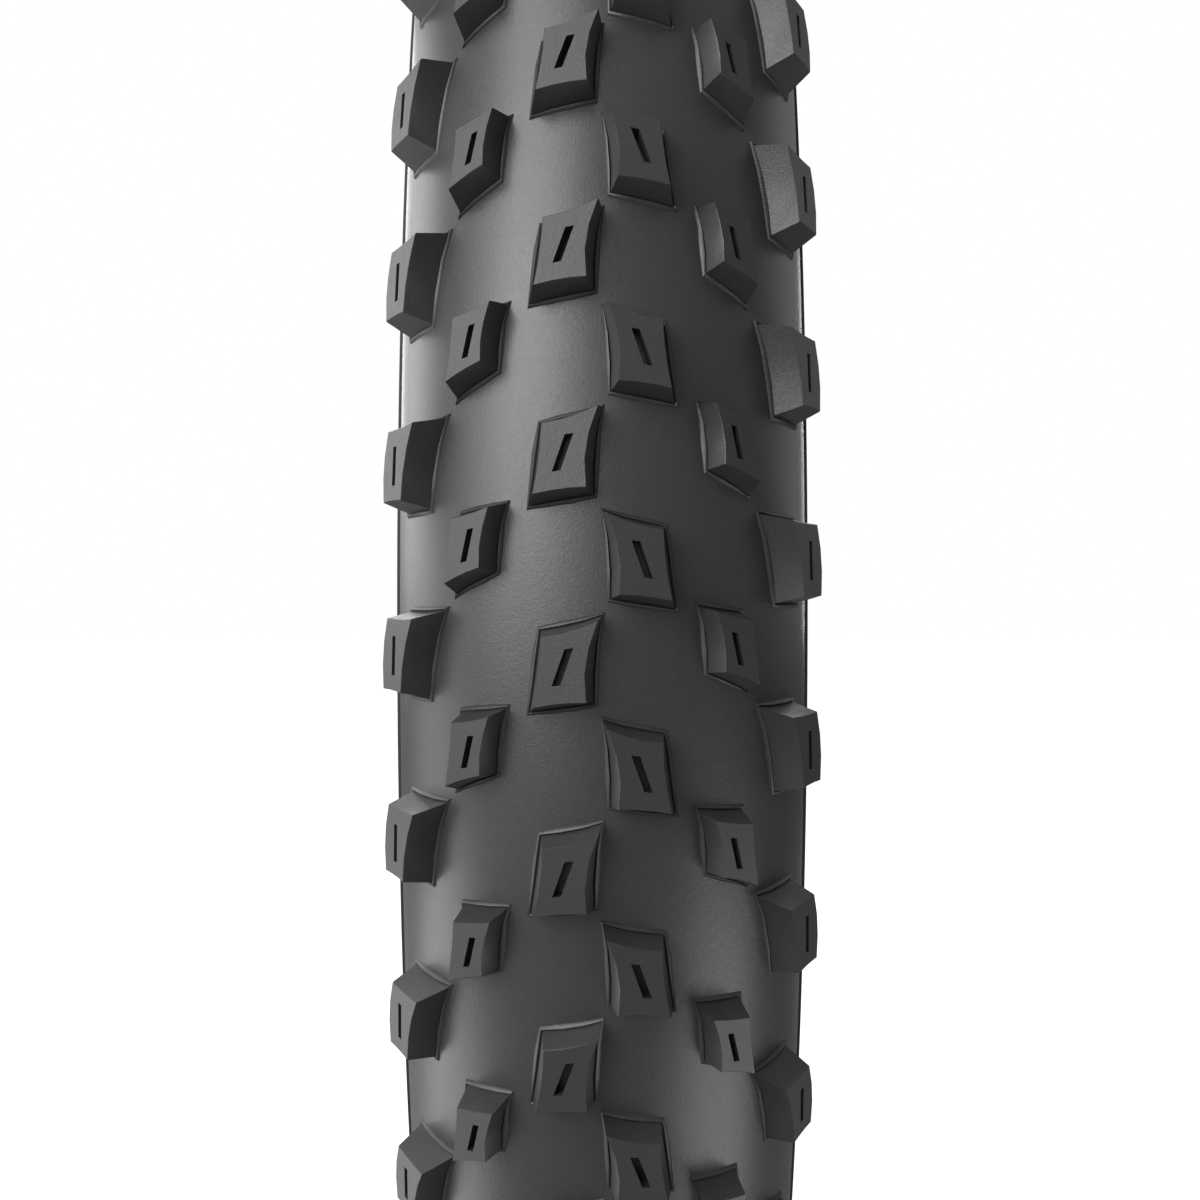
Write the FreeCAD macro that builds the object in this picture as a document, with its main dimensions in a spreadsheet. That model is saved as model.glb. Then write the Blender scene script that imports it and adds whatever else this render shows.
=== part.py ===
import math
import os

import FreeCAD
import Part
import Sketcher

# Mountain bike tyre, 60-622 (29 x 2.35), drawn inflated to its working shape.
# Millimetres. The origin is the wheel's centre, the axle lies along +Y, and +Z is up.
#
# Section coordinates: the casing's section is a circle about a point at the radius
# section_centre. A place in the section is a distance rho from that point and an angle beta,
# which is 0 at the crown, grows towards +Y and passes 150 degrees at the bead.
# Everything at rho and beta is a full ring about the axle, apart from the tread knobs.

OUT_DIR = "parts"
SHEET = "Sizes"
CORE_ARCS = 8  # short arcs that an outline goes round the bead core in

# alias, value, what it is. Lengths are millimetres and angles are degrees.
SIZES = [
    ("section_centre", 340.7, "radius of the circle that runs through every casing section's centre"),
    ("liner_inner", 27.7, "section radius of the airtight liner's inside"),
    ("ply_inner", 28.1, "section radius of the inner ply's inside"),
    ("ply_middle", 28.5, "section radius where the two plies meet"),
    ("ply_outer", 28.9, "section radius of the outer ply's outside"),
    ("belt_outer", 29.3, "section radius of the outside of the breaker and the sidewall guards"),
    ("tread_outer", 30.1, "section radius of the tread rubber between the knobs"),
    ("sidewall_outer", 30.55, "section radius of the sidewall rubber"),
    ("centre_edge", 22, "section angle where the centre and shoulder compounds meet"),
    ("breaker_edge", 45, "section angle of the breaker's edges"),
    ("tread_edge", 82, "section angle of the tread rubber's edges"),
    ("turnup_top", 128, "section angle where the turned-up ply ends"),
    ("sidewall_foot", 139.4, "section angle where the sidewall rubber meets the chafer"),
    ("outer_ply_end", 146, "section angle where the outer ply is cut"),
    ("liner_end", 149, "section angle where the liner stops on the chafer"),
    ("neck_end", 144, "section angle where the outside leaves the section circle for the rim"),
    ("core_angle", 156, "section angle of the bead core's centre"),
    ("core_radius", 1.4, "radius of the bead core's section"),
    ("ply_thickness", 0.4, "thickness of one casing ply"),
    ("turnup_tangent", 132.4, "angle about the core where the turned-up ply leaves it"),
    ("turnup_cover", 0.41, "share of the turn-up's length that the sidewall covers, from its top"),
    ("seat_radius", 311, "radius of the bead seat, for a 622 mm rim"),
    ("heel_face", 15, "distance of the bead's outer face from the wheel's centre plane"),
    ("heel_top", 313, "radius where the bead's outer face starts"),
    ("heel_chamfer", 0.7, "chamfer between the outer face and the seat"),
    ("toe_face", 9.7, "distance of the bead's inner face from the wheel's centre plane"),
    ("toe_chamfer", 1.1, "chamfer between the seat and the inner face"),
    ("toe_top", 314.6, "radius where the bead's inner face ends"),
    ("knob_count", 90, "knobs in each row, all round"),
    ("knob_root", 1.6, "depth that a knob's block starts below the tread surface, before it is trimmed"),
    ("sipe_depth", 2.0, "depth of the slot in a knob's top"),
    ("centre_angle", 8.3, "section angle of the centre knobs' slots"),
    ("centre_height", 3.5, "height of a centre knob above the tread surface"),
    ("centre_phase", 0, "place of the first centre knob, in pitches"),
    ("transition_angle", 30, "section angle of the transition knobs' slots"),
    ("transition_height", 3.75, "height of a transition knob above the tread surface"),
    ("transition_phase", 0.577, "place of the first transition knob, in pitches"),
    ("shoulder_angle", 53.6, "section angle of the shoulder knobs' slots"),
    ("shoulder_height", 4.33, "height of a shoulder knob above the tread surface"),
    ("shoulder_phase", 0.022, "place of the first shoulder knob, in pitches"),
    ("side_shift", 0.5, "how far the -Y half of the tread runs behind the +Y half, in pitches"),
]

# A knob's outlines, in millimetres about the middle of its slot: x runs outwards round the
# section and y round the wheel. Each outline has four corners, from the inner front corner
# round by the outer front, outer back and inner back ones. The bow is how far each side
# curves in between its corners, in the same order, and a negative bow curves out.
KNOBS = {
    "centre": {
        "top": [(-4.4, 5.7), (2.65, 3.75), (3.75, -5.1), (-2.95, -4.35)],
        "top_bow": [0.28, 0.2, 0.18, 0.72],
        "foot": [(-4.5, 6.5), (3.7, 4.6), (5.2, -6.3), (-3.6, -4.95)],
        "foot_bow": [0.5, 0.3, 0.3, 0.6],
        "slot": [(-1.35, 2.35), (-0.25, 2.2), (1.35, -2.35), (0.25, -2.2)],
    },
    "transition": {
        "top": [(-3.25, 4.7), (2.55, 3.5), (3.55, -4.75), (-1.9, -2.87)],
        "top_bow": [0.1, 0.1, 0.13, 0.42],
        "foot": [(-3.7, 5.7), (3.9, 4.7), (4.9, -6.4), (-2.3, -3.4)],
        "foot_bow": [0.4, 0.3, 0.4, 0.7],
        "slot": [(-1.0, 2.15), (-0.05, 2.0), (1.0, -2.15), (0.05, -2.0)],
    },
    "shoulder": {
        "top": [(-5.2, 5.03), (1.95, 4.95), (3.2, -4.6), (-2.0, -4.85)],
        "top_bow": [0.1, -0.7, 0.1, 0.6],
        "foot": [(-6.2, 6.5), (3.6, 6.2), (5.0, -6.0), (-2.5, -6.1)],
        "foot_bow": [0.5, -0.4, 0.4, 0.9],
        "slot": [(-0.6, 2.6), (0.3, 2.6), (0.6, -2.6), (-0.3, -2.6)],
    },
}

doc = FreeCAD.newDocument("bicycle_tyre")
sheet = doc.addObject("Spreadsheet::Sheet", SHEET)
nodes = []


def fill_sheet():
    """Write the driving dimensions, with a name and a note for each."""
    for row, (alias, value, note) in enumerate(SIZES, start=1):
        sheet.set("A%d" % row, str(value))
        sheet.setAlias("A%d" % row, alias)
        sheet.set("B%d" % row, note)
    doc.recompute()


def size(alias):
    """A driving dimension's name, as an expression uses it."""
    return "%s.%s" % (SHEET, alias)


def number(expression):
    """The value that an expression over the sheet has now."""
    value = sheet.evalExpression(expression)
    return float(getattr(value, "Value", value))


def at_section(rho, beta):
    """The point at section radius rho and section angle beta, as two expressions."""
    x = "%s + (%s) * cos((%s) * 1 deg)" % (size("section_centre"), rho, beta)
    y = "(%s) * sin((%s) * 1 deg)" % (rho, beta)
    return x, y


def core_centre():
    """The centre of the bead core's section: the core lies on the inner ply."""
    rho = "%s + %s" % (size("ply_middle"), size("core_radius"))
    return at_section(rho, size("core_angle"))


def at_core(radius, angle):
    """The point at a distance and an angle from the bead core's centre."""
    x, y = core_centre()
    return "%s + (%s) * cos((%s) * 1 deg)" % (x, radius, angle), \
           "%s + (%s) * sin((%s) * 1 deg)" % (y, radius, angle)


def between(start, end, share):
    """The point that lies a share of the way from one point to another."""
    x = "(%s) + (%s) * ((%s) - (%s))" % (start[0], share, end[0], start[0])
    y = "(%s) + (%s) * ((%s) - (%s))" % (start[1], share, end[1], start[1])
    return x, y


def corner(point):
    """A step of an outline that goes straight on from a point."""
    return point, None


def arc_about_section(point, radius, turn):
    """A step that goes on from a point in an arc about the section's centre. A turn of 1 is
    the way beta grows, and -1 is the way back."""
    return point, ((size("section_centre"), "0"), radius, turn)


def arc_about_core(radius, first, last):
    """Steps that go round the core from one angle to another, up to but not including the last
    point. They are short arcs, so that a coarse mesh still keeps the small circle round."""
    turn = 1 if number(last) > number(first) else -1
    steps = []
    for part in range(CORE_ARCS):
        angle = "%s + %d / %d * (%s - (%s))" % (first, part, CORE_ARCS, last, first)
        steps.append((at_core(radius, angle), (core_centre(), radius, turn)))
    return steps


def ply_side():
    """The angle about the core where the core touches the inner ply."""
    return "%s + 180" % size("core_angle")


def bind(sketch, kind, first, second, expression, name):
    """Place one point of the sketch by a distance from the origin that follows the sheet."""
    index = sketch.addConstraint(Sketcher.Constraint(kind, -1, 1, first, second, number(expression)))
    sketch.renameConstraint(index, name)
    sketch.setExpression("Constraints.%s" % name, expression)


def new_sketch(body, name):
    """A sketch on the body's own XY plane."""
    sketch = body.newObject("Sketcher::SketchObject", name)
    plane = [item for item in body.Origin.OriginFeatures if item.Role == "XY_Plane"][0]
    sketch.AttachmentSupport = (plane, [""])
    sketch.MapMode = "FlatFace"
    return sketch


def draw_outline(body, name, steps):
    """A closed outline. Each step is a corner and the arc that leads on from it, if it is one."""
    sketch = new_sketch(body, name)
    points = [FreeCAD.Vector(number(x), number(y), 0) for (x, y), _ in steps]
    ends = []
    for side, start in enumerate(points):
        end = points[(side + 1) % len(points)]
        arc = steps[side][1]
        if arc:
            centre, radius, turn = arc
            middle = FreeCAD.Vector(number(centre[0]), number(centre[1]), 0)
            circle = Part.Circle(middle, FreeCAD.Vector(0, 0, 1), number(radius))
            first, last = (start, end) if turn > 0 else (end, start)
            angles = [math.atan2(p.y - middle.y, p.x - middle.x) for p in (first, last)]
            if angles[1] < angles[0]:
                angles[1] += 2 * math.pi
            line = sketch.addGeometry(Part.ArcOfCircle(circle, angles[0], angles[1]))
            bow = sketch.addConstraint(Sketcher.Constraint("Radius", line, number(radius)))
            sketch.renameConstraint(bow, "radius_%d" % side)
            sketch.setExpression("Constraints.radius_%d" % side, radius)
            ends.append((line, 1, 2) if turn > 0 else (line, 2, 1))
        else:
            line = sketch.addGeometry(Part.LineSegment(start, end))
            ends.append((line, 1, 2))
    for side, (line, start, end) in enumerate(ends):
        following = ends[(side + 1) % len(ends)]
        sketch.addConstraint(Sketcher.Constraint("Coincident", line, end, following[0], following[1]))
        bind(sketch, "DistanceX", line, start, steps[side][0][0], "x_%d" % side)
        bind(sketch, "DistanceY", line, start, steps[side][0][1], "y_%d" % side)
    return sketch


def revolve(body, sketch, name):
    """Spin an outline once round the axle, which is the sketch's vertical axis."""
    ring = body.newObject("PartDesign::Revolution", name)
    ring.Profile = sketch
    ring.ReferenceAxis = (sketch, ["V_Axis"])
    ring.Angle = 360
    ring.Refine = False
    sketch.Visibility = False
    return ring


def new_body(name):
    """A body whose label is its sub-part's name."""
    body = doc.addObject("PartDesign::Body", name)
    body.Label = name
    return body


def ring_body(name, steps):
    """A sub-part that is one outline spun about the axle."""
    body = new_body(name)
    revolve(body, draw_outline(body, name + "_section", steps), name + "_ring")
    return body


def mirrored(source, name):
    """The same piece on the other side of the wheel's centre plane."""
    copy = doc.addObject("Part::Mirroring", name)
    copy.Label = name
    copy.Source = source
    copy.Base = FreeCAD.Vector(0, 0, 0)
    copy.Normal = FreeCAD.Vector(0, 1, 0)
    return copy


def keep(*pieces):
    """List finished sub-parts for writing. Each one's label names its file."""
    nodes.extend(pieces)


def layer_outline(inner, outer, start, end):
    """The outline of one layer of the casing, between two section radii and two angles."""
    return [corner(at_section(inner, start)),
            arc_about_section(at_section(outer, start), outer, 1),
            corner(at_section(outer, end)),
            arc_about_section(at_section(inner, end), inner, -1)]


def whole_layer(name, inner, outer, edge):
    """A layer that reaches as far to each side of the crown."""
    keep(ring_body(name, layer_outline(size(inner), size(outer), "-" + size(edge), size(edge))))


def side_layers(name, inner, outer, start, end):
    """A pair of layers, one on each side of the wheel."""
    outline = layer_outline(size(inner), size(outer), size(start), size(end))
    right = ring_body(name + "_right", outline)
    keep(right, mirrored(right, name + "_left"))


def wrap_radius():
    """The radius of the inner ply's outside where it wraps the core."""
    return "%s + %s" % (size("core_radius"), size("ply_thickness"))


def turnup_line():
    """The outside of the turned-up ply, from its top to where it leaves the core."""
    return (at_section(size("belt_outer"), size("turnup_top")),
            at_core(wrap_radius(), size("turnup_tangent")))


def inner_ply():
    """The ply that runs from bead to bead, passes under both cores and turns back up."""
    body = new_body("casing_ply_inner")
    band = layer_outline(size("ply_inner"), size("ply_middle"),
                         "-" + size("core_angle"), size("core_angle"))
    revolve(body, draw_outline(body, "ply_band_section", band), "ply_band")
    turnup = [corner(at_section(size("ply_outer"), size("turnup_top"))),
              corner(turnup_line()[0])]
    turnup += arc_about_core(wrap_radius(), size("turnup_tangent"), ply_side())
    turnup += [corner(at_section(size("ply_inner"), size("core_angle")))]
    turnup += arc_about_core(size("core_radius"), ply_side(), size("turnup_tangent"))
    turnup += [corner(at_core(size("core_radius"), size("turnup_tangent")))]
    hook = revolve(body, draw_outline(body, "ply_turnup_section", turnup), "ply_turnup")
    doc.recompute()
    other = body.newObject("PartDesign::Mirrored", "ply_turnup_left")
    other.Originals = [hook]
    plane = [item for item in body.Origin.OriginFeatures if item.Role == "XZ_Plane"][0]
    other.MirrorPlane = (plane, [""])
    other.Refine = False
    body.Tip = other
    keep(body)


def bead_cores():
    """The strands that hold the bead on the rim, as one round hoop on each side."""
    for_core = new_body("bead_core_right")
    sketch = new_sketch(for_core, "bead_core_section")
    x, y = core_centre()
    middle = FreeCAD.Vector(number(x), number(y), 0)
    radius = number(size("core_radius"))
    circle = sketch.addGeometry(Part.Circle(middle, FreeCAD.Vector(0, 0, 1), radius))
    bind(sketch, "DistanceX", circle, 3, x, "centre_x")
    bind(sketch, "DistanceY", circle, 3, y, "centre_y")
    index = sketch.addConstraint(Sketcher.Constraint("Radius", circle, radius))
    sketch.renameConstraint(index, "core_radius")
    sketch.setExpression("Constraints.core_radius", size("core_radius"))
    revolve(for_core, sketch, "bead_core_ring")
    keep(for_core, mirrored(for_core, "bead_core_left"))


def bead_fillers():
    """The rubber wedge above each core, between the ply and its turn-up."""
    upper_side = "%s - 180" % size("core_angle")
    steps = [corner(at_section(size("ply_outer"), size("turnup_top")))]
    steps += arc_about_core(size("core_radius"), size("turnup_tangent"), upper_side)
    steps += [arc_about_section(at_section(size("ply_middle"), size("core_angle")),
                                size("ply_middle"), -1),
              corner(at_section(size("ply_middle"), size("outer_ply_end"))),
              arc_about_section(at_section(size("ply_outer"), size("outer_ply_end")),
                                size("ply_outer"), -1)]
    right = ring_body("bead_filler_right", steps)
    keep(right, mirrored(right, "bead_filler_left"))


def sidewalls():
    """The outer rubber from the tread's edge down over most of the turn-up."""
    turnup = turnup_line()
    steps = [corner(at_section(size("belt_outer"), size("tread_edge"))),
             arc_about_section(at_section(size("sidewall_outer"), size("tread_edge")),
                               size("sidewall_outer"), 1),
             corner(at_section(size("sidewall_outer"), size("sidewall_foot"))),
             corner(between(turnup[0], turnup[1], size("turnup_cover"))),
             arc_about_section(turnup[0], size("belt_outer"), -1)]
    right = ring_body("sidewall_right", steps)
    keep(right, mirrored(right, "sidewall_left"))


def chafers():
    """The hard rubber that wraps each bead, with the flat seat and the faces that meet the rim."""
    turnup = turnup_line()
    heel_foot = "%s + %s" % (size("seat_radius"), size("heel_chamfer"))
    toe_foot = "%s + %s" % (size("seat_radius"), size("toe_chamfer"))
    steps = [corner(at_section(size("liner_inner"), size("liner_end"))),
             arc_about_section(at_section(size("ply_inner"), size("liner_end")), size("ply_inner"), 1)]
    steps += arc_about_core(wrap_radius(), ply_side(), size("turnup_tangent"))
    steps += [corner(turnup[1]),
              corner(between(turnup[0], turnup[1], size("turnup_cover"))),
              arc_about_section(at_section(size("sidewall_outer"), size("sidewall_foot")),
                                size("sidewall_outer"), 1),
              corner(at_section(size("sidewall_outer"), size("neck_end"))),
              corner((size("heel_top"), size("heel_face"))),
              corner((heel_foot, size("heel_face"))),
              corner((size("seat_radius"), "%s - %s" % (size("heel_face"), size("heel_chamfer")))),
              corner((size("seat_radius"), "%s + %s" % (size("toe_face"), size("toe_chamfer")))),
              corner((toe_foot, size("toe_face"))),
              corner((size("toe_top"), size("toe_face")))]
    right = ring_body("chafer_right", steps)
    keep(right, mirrored(right, "chafer_left"))


def side_arc(start, end, bow):
    """A knob's side: an arc that curves in by bow at its middle."""
    middle = (start + end) * 0.5
    run = end - start
    inward = FreeCAD.Vector(run.y, -run.x, 0).normalize()
    return Part.Arc(start, middle + inward * bow, end)


def draw_knob_outline(body, name, corners, bows, height):
    """A knob's outline at a height, with its four sides curved in."""
    sketch = new_sketch(body, name)
    sketch.setExpression("AttachmentOffset.Base.z", height)
    points = [FreeCAD.Vector(x, y, 0) for x, y in corners]
    for side, start in enumerate(points):
        end = points[(side + 1) % len(points)]
        bow = bows[side] if bows else 0
        line = side_arc(start, end, bow) if bow else Part.LineSegment(start, end)
        sketch.addGeometry(line)
    sketch.Visibility = False
    return sketch


def knob_block(kind):
    """One knob with its slot, standing on the XY plane with its height along Z."""
    knob = KNOBS[kind]
    body = new_body("%s_knob" % kind)
    height = size("%s_height" % kind)
    root = "-" + size("knob_root")
    foot = draw_knob_outline(body, kind + "_foot", knob["foot"], knob["foot_bow"], root)
    top = draw_knob_outline(body, kind + "_top", knob["top"], knob["top_bow"], height)
    block = body.newObject("PartDesign::AdditiveLoft", kind + "_block")
    block.Profile = foot
    block.Sections = [top]
    block.Ruled = True
    doc.recompute()
    whole = body.Shape.Volume
    slot = draw_knob_outline(body, kind + "_slot", knob["slot"], None, height)
    sipe = body.newObject("PartDesign::Pocket", kind + "_sipe")
    sipe.Profile = slot
    sipe.setExpression("Length", size("sipe_depth"))
    doc.recompute()
    if not body.Shape.Volume < whole:
        raise RuntimeError("%s: the slot cut nothing" % kind)
    beta = "%s * 1 deg" % size("%s_angle" % kind)
    x, y = at_section(size("tread_outer"), size("%s_angle" % kind))
    body.setExpression("Placement.Base.x", x)
    body.setExpression("Placement.Base.y", y)
    body.Placement.Rotation = knob_rotation(math.radians(number(beta)))
    return body


def knob_rotation(beta):
    """Turn a block so that its height points out of the tread and its x runs round the section."""
    outwards = FreeCAD.Vector(-math.sin(beta), math.cos(beta), 0)
    forwards = FreeCAD.Vector(0, 0, 1)
    up = FreeCAD.Vector(math.cos(beta), math.sin(beta), 0)
    return FreeCAD.Rotation(outwards, forwards, up, "ZXY")


def tread_torus():
    """The casing's outside as one solid torus, which trims the knobs' feet."""
    torus = doc.addObject("Part::Torus", "tread_surface")
    torus.setExpression("Radius1", size("section_centre"))
    torus.setExpression("Radius2", size("tread_outer"))
    torus.Placement.Rotation = FreeCAD.Rotation(FreeCAD.Vector(1, 0, 0), 90)
    return torus


def row_of_knobs(source, name, phase):
    """All the knobs of one row, as separate solids, because an array of solids needs one shape."""
    count = int(number(size("knob_count")))
    axle = FreeCAD.Vector(0, -1, 0)
    copies = []
    for index in range(count):
        angle = (index + phase) * 360.0 / count
        copies.append(source.rotated(FreeCAD.Vector(0, 0, 0), axle, angle))
    row = doc.addObject("Part::Feature", name)
    row.Label = name
    row.Shape = Part.makeCompound(copies)
    keep(row)


def knob_rows():
    """Six rows: three on each side, the -Y side a mirror of the +Y side, half a pitch behind."""
    torus = tread_torus()
    plane_point = FreeCAD.Vector(0, 0, 0)
    plane_normal = FreeCAD.Vector(0, 1, 0)
    for kind in KNOBS:
        trimmed = doc.addObject("Part::Cut", kind + "_knob_trimmed")
        trimmed.Base = knob_block(kind)
        trimmed.Tool = torus
        doc.recompute()
        knob = trimmed.Shape.Solids[0]
        phase = number(size("%s_phase" % kind))
        row_of_knobs(knob, kind + "_knobs_right", phase + number(size("side_shift")))
        row_of_knobs(knob.mirror(plane_point, plane_normal), kind + "_knobs_left", phase)


def check_model():
    """Stop if any object failed or any sub-part isn't a valid solid."""
    for item in doc.Objects:
        if "Invalid" in item.State or "Error" in item.State:
            raise RuntimeError("%s failed: %s" % (item.Name, item.State))
    for piece in nodes:
        shape = piece.Shape
        if shape.isNull() or not shape.isValid() or not shape.Solids:
            raise RuntimeError("%s has no valid solid" % piece.Label)


def write_parts():
    """One STEP file for each sub-part."""
    os.makedirs(OUT_DIR, exist_ok=True)
    for piece in nodes:
        piece.Shape.exportStep(os.path.join(OUT_DIR, piece.Label + ".step"))
        print("%-28s %3d solid(s) %10.1f mm3" % (piece.Label, len(piece.Shape.Solids), piece.Shape.Volume))


fill_sheet()
whole_layer("inner_liner", "liner_inner", "ply_inner", "liner_end")
inner_ply()
whole_layer("casing_ply_outer", "ply_middle", "ply_outer", "outer_ply_end")
whole_layer("puncture_breaker", "ply_outer", "belt_outer", "breaker_edge")
side_layers("sidewall_guard", "ply_outer", "belt_outer", "breaker_edge", "turnup_top")
whole_layer("tread_base_centre", "belt_outer", "tread_outer", "centre_edge")
side_layers("tread_base_shoulder", "belt_outer", "tread_outer", "centre_edge", "tread_edge")
sidewalls()
bead_cores()
bead_fillers()
chafers()
knob_rows()
doc.recompute()
check_model()
write_parts()
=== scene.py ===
import math

import bmesh
import bpy
from mathutils import Matrix, Vector


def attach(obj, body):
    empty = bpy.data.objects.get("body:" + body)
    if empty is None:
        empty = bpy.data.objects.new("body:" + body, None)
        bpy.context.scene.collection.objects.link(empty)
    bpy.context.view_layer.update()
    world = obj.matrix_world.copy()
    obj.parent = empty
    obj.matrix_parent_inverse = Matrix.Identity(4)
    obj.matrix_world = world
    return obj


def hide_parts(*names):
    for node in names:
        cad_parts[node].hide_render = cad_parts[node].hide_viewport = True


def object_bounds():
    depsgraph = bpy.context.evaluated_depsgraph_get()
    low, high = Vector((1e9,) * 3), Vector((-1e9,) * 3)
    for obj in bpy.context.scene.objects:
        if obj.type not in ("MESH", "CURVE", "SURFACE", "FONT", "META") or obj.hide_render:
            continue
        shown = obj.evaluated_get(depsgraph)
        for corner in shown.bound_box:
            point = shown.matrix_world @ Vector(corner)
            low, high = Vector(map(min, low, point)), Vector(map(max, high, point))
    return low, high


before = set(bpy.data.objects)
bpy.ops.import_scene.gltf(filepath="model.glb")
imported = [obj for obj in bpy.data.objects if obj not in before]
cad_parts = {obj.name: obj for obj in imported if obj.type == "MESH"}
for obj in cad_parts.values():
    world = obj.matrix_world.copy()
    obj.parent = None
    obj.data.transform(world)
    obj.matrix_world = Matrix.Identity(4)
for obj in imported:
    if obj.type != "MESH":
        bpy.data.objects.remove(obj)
cad_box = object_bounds()

# The view. The tire stands on its tread, and the eye is 13 cm in front of it, level with the axle
# but for a degree, and looks square at the tread.
eye_distance = 0.50734
eye_rise = math.radians(1.1697)
eye = bpy.data.cameras.new("tread_view")
eye.lens = 33.07
eye.sensor_width = 36
eye.shift_x = -0.0020
eye.shift_y = 0.0036
eye.clip_start = 0.01
viewer = bpy.data.objects.new("tread_view", eye)
viewer.location = (eye_distance * math.cos(eye_rise), 0, eye_distance * math.sin(eye_rise))
viewer.rotation_euler = (math.pi / 2 - eye_rise, 0, math.pi / 2)
bpy.context.scene.collection.objects.link(viewer)
bpy.context.scene.camera = viewer
bpy.context.scene.view_settings.view_transform = "Standard"

# The studio. A white surround that lights the tire only faintly, a bank of softboxes to the left
# of the eye, weaker ones round the sides and back, and a floor that glows only to the eye.
studio = bpy.data.worlds.new("studio")
bpy.context.scene.world = studio
studio.use_nodes = True
tree = studio.node_tree
tree.nodes.clear()
surround = tree.nodes.new("ShaderNodeBackground")
surround.inputs["Color"].default_value = (1, 1, 1, 1)
surround.inputs["Strength"].default_value = 1.0
haze = tree.nodes.new("ShaderNodeBackground")
haze.inputs["Color"].default_value = (1, 1, 1, 1)
haze.inputs["Strength"].default_value = 0.33
choose = tree.nodes.new("ShaderNodeMixShader")
path = tree.nodes.new("ShaderNodeLightPath")
out = tree.nodes.new("ShaderNodeOutputWorld")
tree.links.new(path.outputs["Is Camera Ray"], choose.inputs[0])
tree.links.new(haze.outputs[0], choose.inputs[1])
tree.links.new(surround.outputs[0], choose.inputs[2])
tree.links.new(choose.outputs[0], out.inputs["Surface"])


near_tread = (0.36, 0, 0)
far_tread = (-0.36, 0, 0)


def hang_softbox(name, azimuth, elevation, watts, away=1.3, side_length=0.8, aim=near_tread):
    """A square softbox aimed at the tread. Azimuth 0 is in front of the tire, minus is the left."""
    lamp = bpy.data.lights.new(name, "AREA")
    lamp.size = side_length
    lamp.energy = watts
    box = bpy.data.objects.new(name, lamp)
    side, up = math.radians(azimuth), math.radians(elevation)
    way = Vector((math.cos(up) * math.cos(side), math.cos(up) * math.sin(side), math.sin(up)))
    box.location = Vector(aim) + away * way
    box.rotation_euler = way.to_track_quat("Z", "Y").to_euler()
    box.visible_camera = False
    bpy.context.scene.collection.objects.link(box)


hang_softbox("front_key_softbox", azimuth=-20, elevation=16, watts=4.4)
hang_softbox("key_softbox", azimuth=-42, elevation=16, watts=10.0)
hang_softbox("side_key_softbox", azimuth=-62, elevation=16, watts=7.0)
hang_softbox("upper_key_softbox", azimuth=-42, elevation=44, watts=11.4)
hang_softbox("low_left_softbox", azimuth=-100, elevation=-12, watts=1.0, away=0.65, side_length=0.4)
hang_softbox("under_left_softbox", azimuth=-100, elevation=-38, watts=0.5, away=0.42, side_length=0.26)
hang_softbox("left_rim_softbox", azimuth=-125, elevation=16, watts=6.0)
hang_softbox("right_rim_softbox", azimuth=125, elevation=16, watts=0.6)
hang_softbox("low_right_softbox", azimuth=72, elevation=-40, watts=0.6, away=0.42, side_length=0.26)
hang_softbox("back_right_softbox", azimuth=156, elevation=14, watts=7.0,
             away=0.9, side_length=0.6, aim=far_tread)
hang_softbox("back_left_softbox", azimuth=-150, elevation=30, watts=7.5,
             away=0.9, side_length=0.6, aim=far_tread)

bpy.ops.object.select_all(action="DESELECT")
floor_width = 14
bpy.ops.mesh.primitive_plane_add(size=floor_width, location=(0, 0, cad_box[0][2]))
floor = bpy.context.object
floor.name = "studio_floor"
bpy.ops.object.transform_apply(location=True)
pale = bpy.data.materials.new("studio_floor_paint")
pale.use_nodes = True
tree = pale.node_tree
paint = tree.nodes["Principled BSDF"]
paint.inputs["Roughness"].default_value = 0.9
paint.inputs["Base Color"].default_value = (0.2, 0.2, 0.2, 1)
paint.inputs["Specular IOR Level"].default_value = 0.1
paint.inputs["Emission Color"].default_value = (1, 1, 1, 1)
path = tree.nodes.new("ShaderNodeLightPath")
glow = tree.nodes.new("ShaderNodeMath")
glow.operation = "MULTIPLY"
glow.inputs[1].default_value = 0.98
tree.links.new(path.outputs["Is Camera Ray"], glow.inputs[0])
tree.links.new(glow.outputs[0], paint.inputs["Emission Strength"])
floor.data.materials.append(pale)


# The tread base: the thin sheet of rubber over the casing that the blocks stand on, from one
# shoulder's edge to the other. It is moulded with them in one piece, smooth between the blocks.
hoop_radius = 0.3407        # from the axle to the middle of the round section
tread_radius = 0.0301       # from that middle out to the tread's face
belt_radius = 0.0293        # and out to the casing under it
tread_edge = 82.0           # how far round the section the tread reaches, in degrees
steps_round = 360           # facets of a hoop round the wheel


def on_section(radius, angle):
    """The place of a point of the section, given by its radius and its angle from the crown."""
    turn = math.radians(angle)
    return Vector((hoop_radius + radius * math.cos(turn), radius * math.sin(turn), 0))


def arc_points(radius, start, end, count):
    """Points of the section at one radius, from one angle to another, both ends in."""
    return [on_section(radius, start + (end - start) * i / (count - 1)) for i in range(count)]


def open_piece(name, points):
    """A loop with a corner on each point, alone and open for shaping."""
    bpy.ops.object.select_all(action="DESELECT")
    bpy.ops.mesh.primitive_circle_add(vertices=len(points), radius=0.01)
    piece = bpy.context.object
    piece.name = name
    piece.data.name = name
    bpy.ops.object.mode_set(mode="EDIT")
    bpy.ops.mesh.select_mode(type="VERT")
    bpy.ops.mesh.select_all(action="SELECT")
    move_corners(piece, [vert.co.copy() for vert in piece.data.vertices], points)
    return piece


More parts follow.
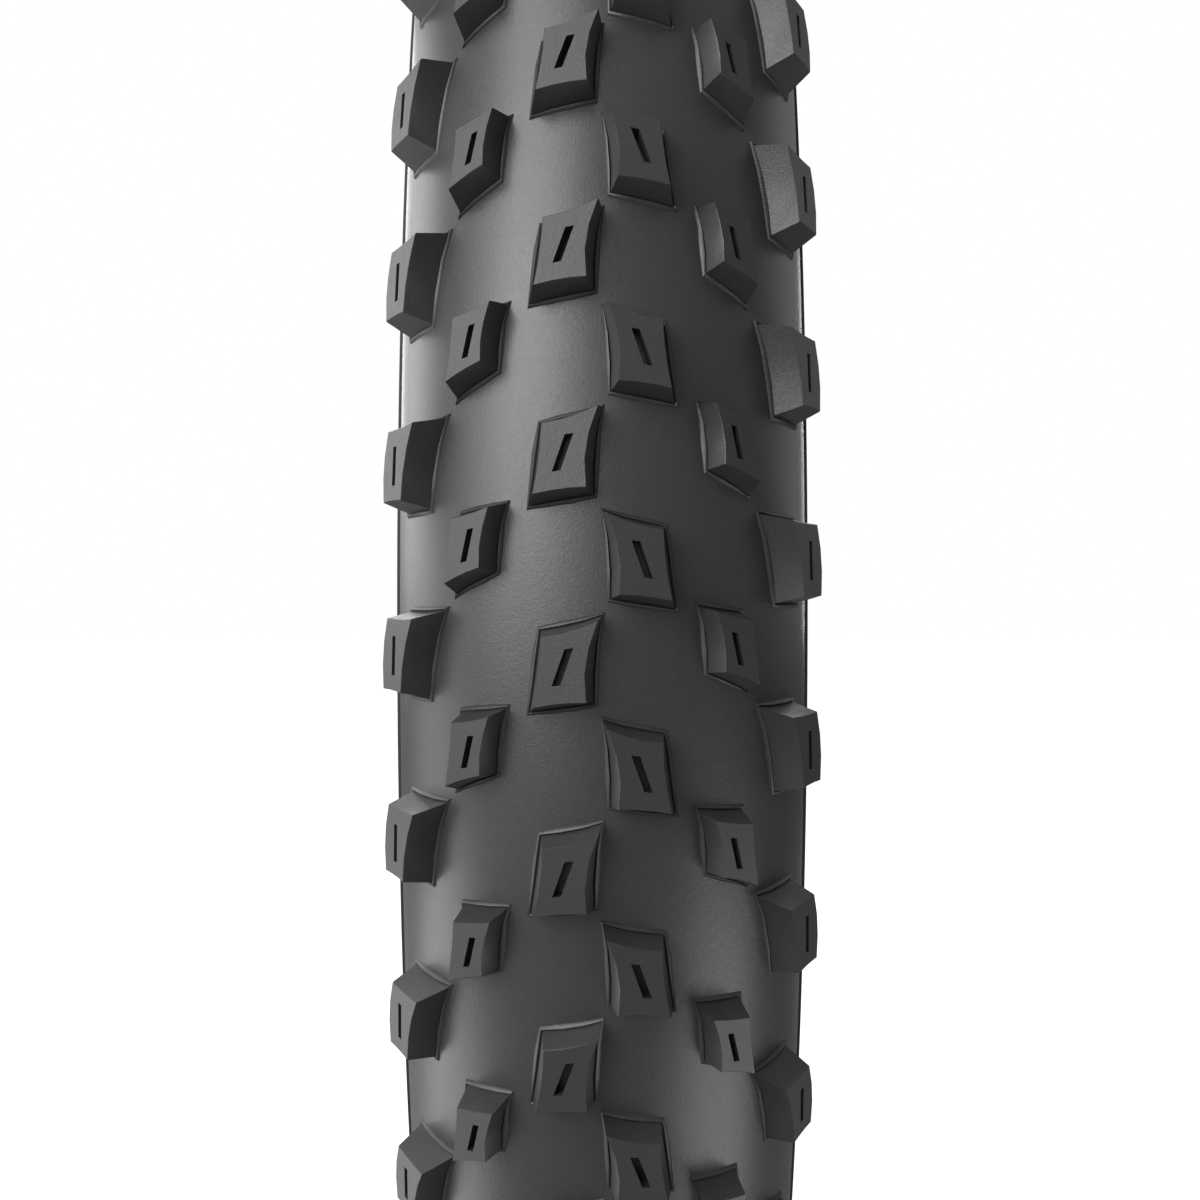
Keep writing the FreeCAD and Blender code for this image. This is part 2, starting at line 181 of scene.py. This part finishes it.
def move_corners(piece, old, new):
    """Take each selected corner from its old place to its new one."""
    mesh = bmesh.from_edit_mesh(piece.data)
    for vert in mesh.verts:
        if vert.select:
            nearest = min(range(len(old)), key=lambda k: (vert.co - old[k]).length)
            vert.co = new[nearest]
    bmesh.update_edit_mesh(piece.data)


def spin_hoop(name, points):
    """A closed outline spun once round the axle into a hoop of that section."""
    piece = open_piece(name, points)
    bpy.ops.mesh.spin(steps=steps_round, angle=math.tau, center=(0, 0, 0), axis=(0, -1, 0))
    bpy.ops.mesh.select_all(action="SELECT")
    bpy.ops.mesh.remove_doubles(threshold=1e-6)
    bpy.ops.mesh.normals_make_consistent(inside=False)
    bpy.ops.object.mode_set(mode="OBJECT")
    bpy.ops.object.shade_smooth_by_angle(angle=math.radians(32))
    return piece


def link(tree, source, target):
    """Join two sockets of a node tree."""
    tree.links.new(source, target)


# moulded grain: the fine eggshell skin that the mould leaves, with slow changes of tone
grain = bpy.data.node_groups.new("moulded_grain", "ShaderNodeTree")
for socket, kind in (("Place", "Vector"), ("Shade", "Color"),
                     ("Gloss", "Float"), ("Fine", "Float")):
    grain.interface.new_socket(socket, in_out="INPUT", socket_type="NodeSocket" + kind)
for socket, kind in (("Colour", "Color"), ("Roughness", "Float"), ("Height", "Float")):
    grain.interface.new_socket(socket, in_out="OUTPUT", socket_type="NodeSocket" + kind)
given = grain.nodes.new("NodeGroupInput")
result = grain.nodes.new("NodeGroupOutput")
patches = grain.nodes.new("ShaderNodeTexNoise")
patches.inputs["Scale"].default_value = 22
patches.inputs["Detail"].default_value = 3
skin = grain.nodes.new("ShaderNodeTexNoise")
skin.inputs["Detail"].default_value = 5
skin.inputs["Roughness"].default_value = 0.6
pores = grain.nodes.new("ShaderNodeTexVoronoi")
pore_scale = grain.nodes.new("ShaderNodeMath")
pore_scale.operation = "MULTIPLY"
pore_scale.inputs[1].default_value = 2.3
for texture in (patches, skin, pores):
    link(grain, given.outputs["Place"], texture.inputs["Vector"])
link(grain, given.outputs["Fine"], skin.inputs["Scale"])
link(grain, given.outputs["Fine"], pore_scale.inputs[0])
link(grain, pore_scale.outputs[0], pores.inputs["Scale"])
tone = grain.nodes.new("ShaderNodeMapRange")
tone.inputs["To Min"].default_value = 0.84
tone.inputs["To Max"].default_value = 1.16
link(grain, patches.outputs[0], tone.inputs["Value"])
speck = grain.nodes.new("ShaderNodeMapRange")
speck.inputs["To Min"].default_value = 0.9
speck.inputs["To Max"].default_value = 1.1
link(grain, skin.outputs[0], speck.inputs["Value"])
both = grain.nodes.new("ShaderNodeMath")
both.operation = "MULTIPLY"
link(grain, tone.outputs[0], both.inputs[0])
link(grain, speck.outputs[0], both.inputs[1])
toned = grain.nodes.new("ShaderNodeVectorMath")
toned.operation = "SCALE"
link(grain, given.outputs["Shade"], toned.inputs[0])
link(grain, both.outputs[0], toned.inputs["Scale"])
link(grain, toned.outputs[0], result.inputs["Colour"])
dull = grain.nodes.new("ShaderNodeMath")
dull.operation = "MULTIPLY_ADD"
dull.inputs[1].default_value = 0.16
link(grain, skin.outputs[0], dull.inputs[0])
link(grain, given.outputs["Gloss"], dull.inputs[2])
link(grain, dull.outputs[0], result.inputs["Roughness"])
relief = grain.nodes.new("ShaderNodeMath")
relief.operation = "MULTIPLY_ADD"
relief.inputs[1].default_value = 0.5
link(grain, pores.outputs["Distance"], relief.inputs[0])
link(grain, skin.outputs[0], relief.inputs[2])
link(grain, relief.outputs[0], result.inputs["Height"])


def rubber(name, shade, gloss, fine, depth):
    """A rubber with the moulded grain: its shade, roughness, grain scale and grain depth."""
    finish = bpy.data.materials.new(name)
    finish.use_nodes = True
    tree = finish.node_tree
    shader = tree.nodes["Principled BSDF"]
    shader.inputs["IOR"].default_value = 1.5
    where = tree.nodes.new("ShaderNodeTexCoord")
    skin = tree.nodes.new("ShaderNodeGroup")
    skin.node_tree = grain
    skin.inputs["Shade"].default_value = (*shade, 1)
    skin.inputs["Gloss"].default_value = gloss
    skin.inputs["Fine"].default_value = fine
    bump = tree.nodes.new("ShaderNodeBump")
    bump.name = "relief"
    bump.inputs["Strength"].default_value = 0.7
    bump.inputs["Distance"].default_value = depth
    link(tree, where.outputs["Object"], skin.inputs["Place"])
    link(tree, skin.outputs["Colour"], shader.inputs["Base Color"])
    link(tree, skin.outputs["Roughness"], shader.inputs["Roughness"])
    link(tree, skin.outputs["Height"], bump.inputs["Height"])
    link(tree, bump.outputs[0], shader.inputs["Normal"])
    return finish


tread_outline = arc_points(tread_radius, -tread_edge, tread_edge, 42)
tread_outline += arc_points(belt_radius, tread_edge, -tread_edge, 42)
tread_base = spin_hoop("tread_base", tread_outline)
tread_rubber = rubber("tread_rubber", shade=(0.025, 0.025, 0.0255), gloss=0.3, fine=1500, depth=0.00003)
tread_base.data.materials.append(tread_rubber)
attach(tread_base, "root")
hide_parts("tread_base_centre", "tread_base_shoulder_left", "tread_base_shoulder_right")


# The middle blocks: two rows of ninety that stand astride the crown, the right row half a pitch
# on from the left. Each has a flat top with a slot, hollow sides and corners drawn out to points.
blocks_in_row = 90
side_parts = 3              # straight stretches in each side of a block's outline
across_curve = 30.1         # radii at which the tread falls away under a block, in millimetres,
along_curve = 365           # across it and along it
edge_drop = 0.13            # the bevel round a block's top: how deep and how wide
edge_inset = 0.12
slot_depth = 2.0
# from the flank down over the crease and the rolled edge, into the tread: share, flare and height
foot_levels = ((0.8, 0.0, 0.28), (0.88, 0.02, 0.14), (0.96, 0.1, 0.33), (1.0, 0.16, 0.38),
               (1.0, 0.36, 0.31), (1.0, 0.58, 0.1), (1.0, 0.7, -0.1))
# painted shade: the blocks' rubber is the tread's rubber set darker, so the blocks read darker than the
# tread between them
block_rubber_painted_dark = rubber("block_rubber_painted_dark", shade=(0.019, 0.019, 0.0195), gloss=0.38, fine=1700, depth=0.00003)


def bowed(corners, bows):
    """A four-sided outline whose sides curve in by their bows, each side cut in equal parts."""
    points = []
    for side, start in enumerate(corners):
        end = corners[(side + 1) % 4]
        along = Vector(end) - Vector(start)
        inward = Vector((along.y, -along.x)).normalized()
        for part in range(side_parts):
            share = part / side_parts
            bend = bows[side] * 4 * share * (1 - share)
            points.append(Vector(start) + along * share + inward * bend)
    return points


def block_loop(upper, lower, share, flare, height, on_tread):
    """A level of a block: part of the way from its top's outline to its foot's, spread by a flare.
    Heights are above the flat that touches the tread under the block, or above the tread itself."""
    points = []
    for number, (high, low) in enumerate(zip(upper, lower)):
        flat = high.lerp(low, share)
        at_corner = number % side_parts == 0
        blunt = 0.3 * share + 0.25 * flare if on_tread and at_corner else 0
        flat += flat.normalized() * (flare - blunt)
        drop = 0
        if on_tread:
            drop = flat.x ** 2 / (2 * across_curve) + flat.y ** 2 / (2 * along_curve)
        points.append(Vector((flat.x, flat.y, height - drop)) / 1000)
    return points


def next_loop(piece, old, new):
    """Extrude what is selected and take its corners to their new places."""
    bpy.ops.mesh.extrude_region()
    move_corners(piece, old, new)
    return new


def pick(piece, places):
    """Select the corners that stand at these places."""
    mesh = bmesh.from_edit_mesh(piece.data)
    for vert in mesh.verts:
        vert.select_set(any((vert.co - place).length < 1e-7 for place in places))
    mesh.select_flush_mode()
    bmesh.update_edit_mesh(piece.data)


def mould_block(name, height, top, top_bow, foot, foot_bow, slot):
    """One block, drawn in millimetres with x round the section, y round the wheel and z out."""
    upper, lower = bowed(top, top_bow), bowed(foot, foot_bow)
    mouth = bowed(slot, (0, 0, 0, 0))
    rim = block_loop(upper, lower, 0.0, 0.0, height - edge_drop, False)
    block = open_piece(name, rim)
    loop = rim
    for share, flare, above in foot_levels:
        loop = next_loop(block, loop, block_loop(upper, lower, share, flare, above, True))
    bpy.ops.mesh.edge_face_add()
    pick(block, rim)
    bpy.ops.mesh.edge_face_add()
    loop = next_loop(block, rim, block_loop(upper, lower, 0.0, -edge_inset, height, False))
    loop = next_loop(block, loop, block_loop(mouth, mouth, 0.0, 0.0, height, False))
    next_loop(block, loop, block_loop(mouth, mouth, 0.0, 0.0, height - slot_depth, False))
    bpy.ops.mesh.select_all(action="SELECT")
    bpy.ops.mesh.normals_make_consistent(inside=False)
    bpy.ops.object.mode_set(mode="OBJECT")
    bpy.ops.object.shade_smooth_by_angle(angle=math.radians(38))
    return block


def set_row(block, name, angle, phase, left):
    """A copy of a block set on the tread at its angle, then copied round the wheel."""
    bpy.ops.object.select_all(action="DESELECT")
    row = block.copy()
    row.data = block.data.copy()
    row.name = name
    row.data.name = name
    bpy.context.scene.collection.objects.link(row)
    bpy.context.view_layer.objects.active = row
    row.select_set(True)
    turn = math.radians(angle)
    seat = on_section(tread_radius, angle)
    place = Matrix(((-math.sin(turn), 0, math.cos(turn), seat.x),
                    (math.cos(turn), 0, math.sin(turn), seat.y),
                    (0, 1, 0, 0),
                    (0, 0, 0, 1)))
    side = Matrix.Diagonal((1, -1, 1, 1)) if left else Matrix.Identity(4)
    round_wheel = Matrix.Rotation(math.tau * phase / blocks_in_row, 4, Vector((0, -1, 0)))
    row.matrix_world = round_wheel @ side @ place
    bpy.ops.object.transform_apply(location=True, rotation=True, scale=True)
    bpy.ops.object.mode_set(mode="EDIT")
    bpy.ops.mesh.select_all(action="SELECT")
    bpy.ops.mesh.normals_make_consistent(inside=False)
    bpy.ops.mesh.spin(steps=blocks_in_row - 1, dupli=True, center=(0, 0, 0), axis=(0, -1, 0),
                      angle=math.tau * (blocks_in_row - 1) / blocks_in_row)
    bpy.ops.object.mode_set(mode="OBJECT")
    row.data.materials.append(block_rubber_painted_dark)
    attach(row, "root")
    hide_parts(name.replace("blocks", "knobs"))


middle_block = mould_block(
    "middle_block", height=3.5,
    top=[(-4.4, 5.7), (2.65, 3.75), (3.75, -5.1), (-2.95, -4.35)], top_bow=(0.28, 0.2, 0.18, 0.72),
    foot=[(-4.5, 6.5), (3.7, 4.6), (5.2, -6.3), (-3.6, -4.95)], foot_bow=(0.5, 0.3, 0.3, 0.6),
    slot=[(-1.35, 2.35), (-0.25, 2.2), (1.35, -2.35), (0.25, -2.2)])
set_row(middle_block, "centre_blocks_left", angle=8.3, phase=0.0, left=True)
set_row(middle_block, "centre_blocks_right", angle=8.3, phase=0.5, left=False)
bpy.data.objects.remove(middle_block)

# The blocks between the middle and the shoulder: smaller, set in the gaps of the middle rows,
# with one long outer corner. The same rubber as the middle blocks, painted darker than the tread
# for shade, in the same mould.
between_block = mould_block(
    "between_block", height=3.75,
    top=[(-3.25, 4.7), (2.55, 3.5), (3.55, -4.75), (-1.9, -2.87)], top_bow=(0.1, 0.1, 0.13, 0.42),
    foot=[(-3.7, 5.7), (3.9, 4.7), (4.9, -6.4), (-2.3, -3.4)], foot_bow=(0.4, 0.3, 0.4, 0.7),
    slot=[(-1.0, 2.15), (-0.05, 2.0), (1.0, -2.15), (0.05, -2.0)])
set_row(between_block, "transition_blocks_left", angle=30.0, phase=0.577, left=True)
set_row(between_block, "transition_blocks_right", angle=30.0, phase=1.077, left=False)
bpy.data.objects.remove(between_block)

# The shoulder blocks: the tallest, which lean out over the sidewalls and bite in a turn. Their
# outer side bulges and their slot runs straight round the wheel.
shoulder_block = mould_block(
    "shoulder_block", height=4.33,
    top=[(-5.2, 5.03), (1.95, 4.95), (3.2, -4.6), (-2.0, -4.85)], top_bow=(0.1, -0.7, 0.1, 0.6),
    foot=[(-6.2, 6.5), (3.6, 6.2), (5.0, -6.0), (-2.5, -6.1)], foot_bow=(0.5, -0.4, 0.4, 0.9),
    slot=[(-0.6, 2.6), (0.3, 2.6), (0.6, -2.6), (-0.3, -2.6)])
set_row(shoulder_block, "shoulder_blocks_left", angle=53.6, phase=0.022, left=True)
set_row(shoulder_block, "shoulder_blocks_right", angle=53.6, phase=0.522, left=False)
bpy.data.objects.remove(shoulder_block)


# The sidewalls: a skin of softer rubber from under the tread's edge down to the bead, with the
# casing's crossed cords showing faintly through it, and fine ribs above the rim.
wall_radius = 0.03055       # from the middle of the section out to the sidewall's face
wall_foot = 139.4           # how far round the section it reaches, in degrees


def mirror_left(piece, name):
    """The same piece for the other side of the wheel."""
    bpy.ops.object.select_all(action="DESELECT")
    other = piece.copy()
    other.data = piece.data.copy()
    other.name = name
    other.data.name = name
    bpy.context.scene.collection.objects.link(other)
    bpy.context.view_layer.objects.active = other
    other.select_set(True)
    other.scale = (1, -1, 1)
    bpy.ops.object.transform_apply(location=True, rotation=True, scale=True)
    bpy.ops.object.mode_set(mode="EDIT")
    bpy.ops.mesh.select_all(action="SELECT")
    bpy.ops.mesh.normals_make_consistent(inside=False)
    bpy.ops.object.mode_set(mode="OBJECT")
    return other


def rib(angle, half_width, height):
    """The four points of a rib across the sidewall's outline."""
    half_top = half_width * 0.45
    crest = wall_radius + height
    return [on_section(wall_radius, angle - half_width), on_section(crest, angle - half_top),
            on_section(crest, angle + half_top), on_section(wall_radius, angle + half_width)]


wall_outline = arc_points(wall_radius, tread_edge, 93.0, 6)
wall_outline += rib(95.0, 0.7, 0.00022)
wall_outline += arc_points(wall_radius, 98.0, 126.0, 12)
for rib_angle in (128.0, 131.5, 135.0):
    wall_outline += rib(rib_angle, 0.9, 0.0003)
wall_outline += arc_points(wall_radius, 137.0, wall_foot, 2)
wall_outline += arc_points(belt_radius, wall_foot - 2, tread_edge, 22)
sidewall_right = spin_hoop("sidewall_skin_right", wall_outline)

# crossed cords: threads laid at 45 degrees each way round the casing, one height map
cords = bpy.data.node_groups.new("crossed_cords", "ShaderNodeTree")
for socket, kind in (("Place", "Vector"), ("Pitch", "Float")):
    cords.interface.new_socket(socket, in_out="INPUT", socket_type="NodeSocket" + kind)
cords.interface.new_socket("Height", in_out="OUTPUT", socket_type="NodeSocketFloat")
given = cords.nodes.new("NodeGroupInput")
result = cords.nodes.new("NodeGroupOutput")


def math_node(tree, operation, first, second=None):
    """The output of a math node fed by sockets or plain numbers."""
    node = tree.nodes.new("ShaderNodeMath")
    node.operation = operation
    for slot, value in enumerate((first, second)):
        if isinstance(value, (int, float)):
            node.inputs[slot].default_value = value
        elif value is not None:
            link(tree, value, node.inputs[slot])
    return node.outputs[0]


axes = cords.nodes.new("ShaderNodeSeparateXYZ")
link(cords, given.outputs["Place"], axes.inputs[0])
round_wheel = math_node(cords, "ARCTAN2", axes.outputs["Z"], axes.outputs["X"])
x_squared = math_node(cords, "MULTIPLY", axes.outputs["X"], axes.outputs["X"])
z_squared = math_node(cords, "MULTIPLY", axes.outputs["Z"], axes.outputs["Z"])
from_axle = math_node(cords, "SQRT", math_node(cords, "ADD", x_squared, z_squared))
from_middle = math_node(cords, "SUBTRACT", from_axle, hoop_radius)
round_section = math_node(cords, "ARCTAN2", axes.outputs["Y"], from_middle)
along = math_node(cords, "MULTIPLY", round_wheel, hoop_radius)
across = math_node(cords, "MULTIPLY", round_section, wall_radius)
threads = []
for way in ("ADD", "SUBTRACT"):
    wave = math_node(cords, way, along, across)
    wave = math_node(cords, "DIVIDE", wave, given.outputs["Pitch"])
    wave = math_node(cords, "SINE", math_node(cords, "MULTIPLY", wave, math.tau))
    threads.append(wave)
link(cords, math_node(cords, "MAXIMUM", threads[0], threads[1]), result.inputs["Height"])


def corded(finish, pitch, depth):
    """Add the crossed cords under a rubber's grain."""
    tree = finish.node_tree
    where = tree.nodes.new("ShaderNodeTexCoord")
    weave = tree.nodes.new("ShaderNodeGroup")
    weave.node_tree = cords
    weave.inputs["Pitch"].default_value = pitch
    under = tree.nodes.new("ShaderNodeBump")
    under.inputs["Strength"].default_value = 0.6
    under.inputs["Distance"].default_value = depth
    link(tree, where.outputs["Object"], weave.inputs["Place"])
    link(tree, weave.outputs["Height"], under.inputs["Height"])
    link(tree, under.outputs[0], tree.nodes["relief"].inputs["Normal"])
    return finish


wall_rubber = rubber("sidewall_rubber", shade=(0.025, 0.025, 0.0255), gloss=0.44, fine=1300,
                     depth=0.00002)
sidewall_right.data.materials.append(corded(wall_rubber, pitch=0.0011, depth=0.00003))
sidewall_left = mirror_left(sidewall_right, "sidewall_skin_left")
for skin_piece, node in ((sidewall_right, "sidewall_right"), (sidewall_left, "sidewall_left")):
    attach(skin_piece, "root")
    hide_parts(node)

# The bead toes: hard rubber folded round each bead core, with the flat seat that grips the rim
# and a blunt toe. Smoother than the tread, because the rim has to seal against it.
liner_face = 0.0277         # from the middle of the section to the liner's two faces
liner_back = 0.0281
liner_edge = 149.0          # how far round the section the liner reaches, in degrees
toe_outline = arc_points(wall_radius, wall_foot, 144.0, 4)
toe_outline += [Vector((x, y, 0)) / 1000 for x, y in (
    (313.4, 15.03), (313.0, 15.0), (312.4, 15.0), (311.7, 15.0), (311.2, 14.85), (311.0, 14.3),
    (311.0, 13.2), (311.0, 11.9), (311.0, 10.8), (311.25, 10.15), (312.1, 9.7), (313.3, 9.7),
    (314.6, 9.7))]
toe_outline += [on_section(liner_face, liner_edge), on_section(liner_back, liner_edge)]
toe_outline += [on_section(belt_radius, 147.0), on_section(belt_radius, wall_foot - 1)]
bead_right = spin_hoop("bead_toe_right", toe_outline)
bead_rubber = rubber("bead_rubber", shade=(0.032, 0.032, 0.033), gloss=0.34, fine=2200, depth=0.000015)
bead_right.data.materials.append(bead_rubber)
bead_left = mirror_left(bead_right, "bead_toe_left")
for toe, node in ((bead_right, "chafer_right"), (bead_left, "chafer_left")):
    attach(toe, "root")
    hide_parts(node)

# The inner liner: the airtight sheet that faces the air chamber, marked all over by the fine
# lines through which the press lets air out from under its bladder.
liner_outline = arc_points(liner_face, -liner_edge, liner_edge, 60)
liner_outline += arc_points(liner_back, liner_edge, -liner_edge, 60)
liner = spin_hoop("air_liner", liner_outline)
liner_rubber = rubber("liner_rubber", shade=(0.04, 0.04, 0.04), gloss=0.3, fine=900, depth=0.00002)
liner.data.materials.append(corded(liner_rubber, pitch=0.006, depth=0.0001))
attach(liner, "root")
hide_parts("inner_liner")

# The layers inside: two cord plies, the woven breaker and side guards, the strand hoops
# and the rubber wedges above them. They are closed in on all sides by the pieces above.
cloth = {"casing_ply_inner": ("inner_ply_cords", (0.2, 0.17, 0.13), 0.0008),
         "casing_ply_outer": ("outer_ply_cords", (0.19, 0.16, 0.125), 0.0008),
         "puncture_breaker": ("breaker_weave", (0.1, 0.1, 0.105), 0.0012),
         "sidewall_guard_left": ("left_guard_weave", (0.12, 0.12, 0.12), 0.001),
         "sidewall_guard_right": ("right_guard_weave", (0.12, 0.12, 0.12), 0.001),
         "bead_core_left": ("left_strands", (0.62, 0.5, 0.2), 0.0006),
         "bead_core_right": ("right_strands", (0.62, 0.5, 0.2), 0.0006),
         "bead_filler_left": ("left_filler_rubber", (0.03, 0.03, 0.031), 0.004),
         "bead_filler_right": ("right_filler_rubber", (0.03, 0.03, 0.031), 0.004)}
for node, (finish_name, shade, pitch) in cloth.items():
    finish = corded(rubber(finish_name, shade, gloss=0.6, fine=2500, depth=0.00002), pitch, depth=0.00008)
    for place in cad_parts[node].material_slots:
        place.material = finish
